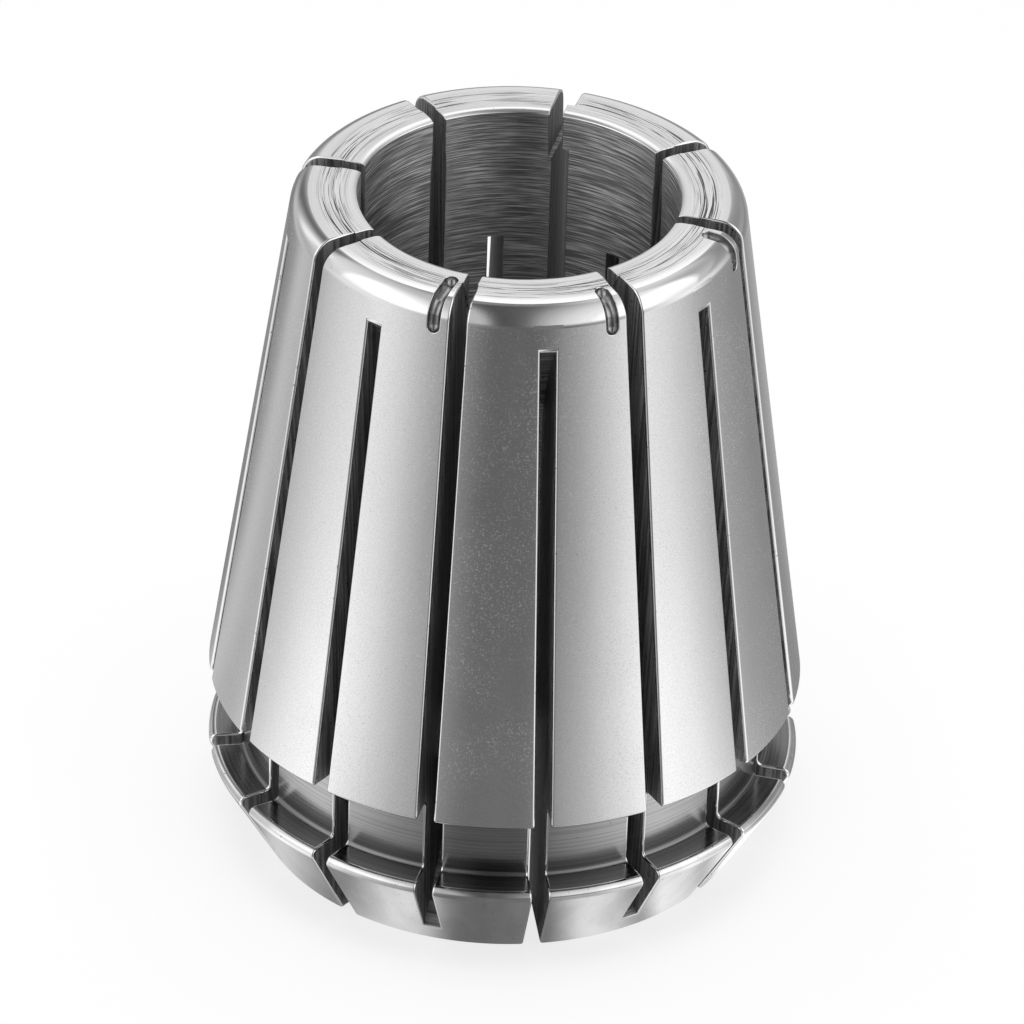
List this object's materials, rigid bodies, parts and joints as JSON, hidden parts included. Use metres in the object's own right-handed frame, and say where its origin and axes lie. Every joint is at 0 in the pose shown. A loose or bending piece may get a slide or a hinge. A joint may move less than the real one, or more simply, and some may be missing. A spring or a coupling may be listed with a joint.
{
  "type": "er collet",
  "caption": "Spring collet with an 8 degree seating taper, a nut groove, a nose cone and slots cut in turn from both ends.",
  "frame": {"origin": "centre of the front face, on the axis, which is the face the collet stands on", "axes": "+Z along the axis from the front face to the small rear face; a slot from the front faces -Y"},
  "size_m": [0.033, 0.033, 0.04],
  "materials": {
    "ground_steel": "hardened spring steel, ground taper, turned groove and face, darker slot walls"
  },
  "bodies": {
    "root": {"collet": "ground_steel"}
  },
  "joints": []
}
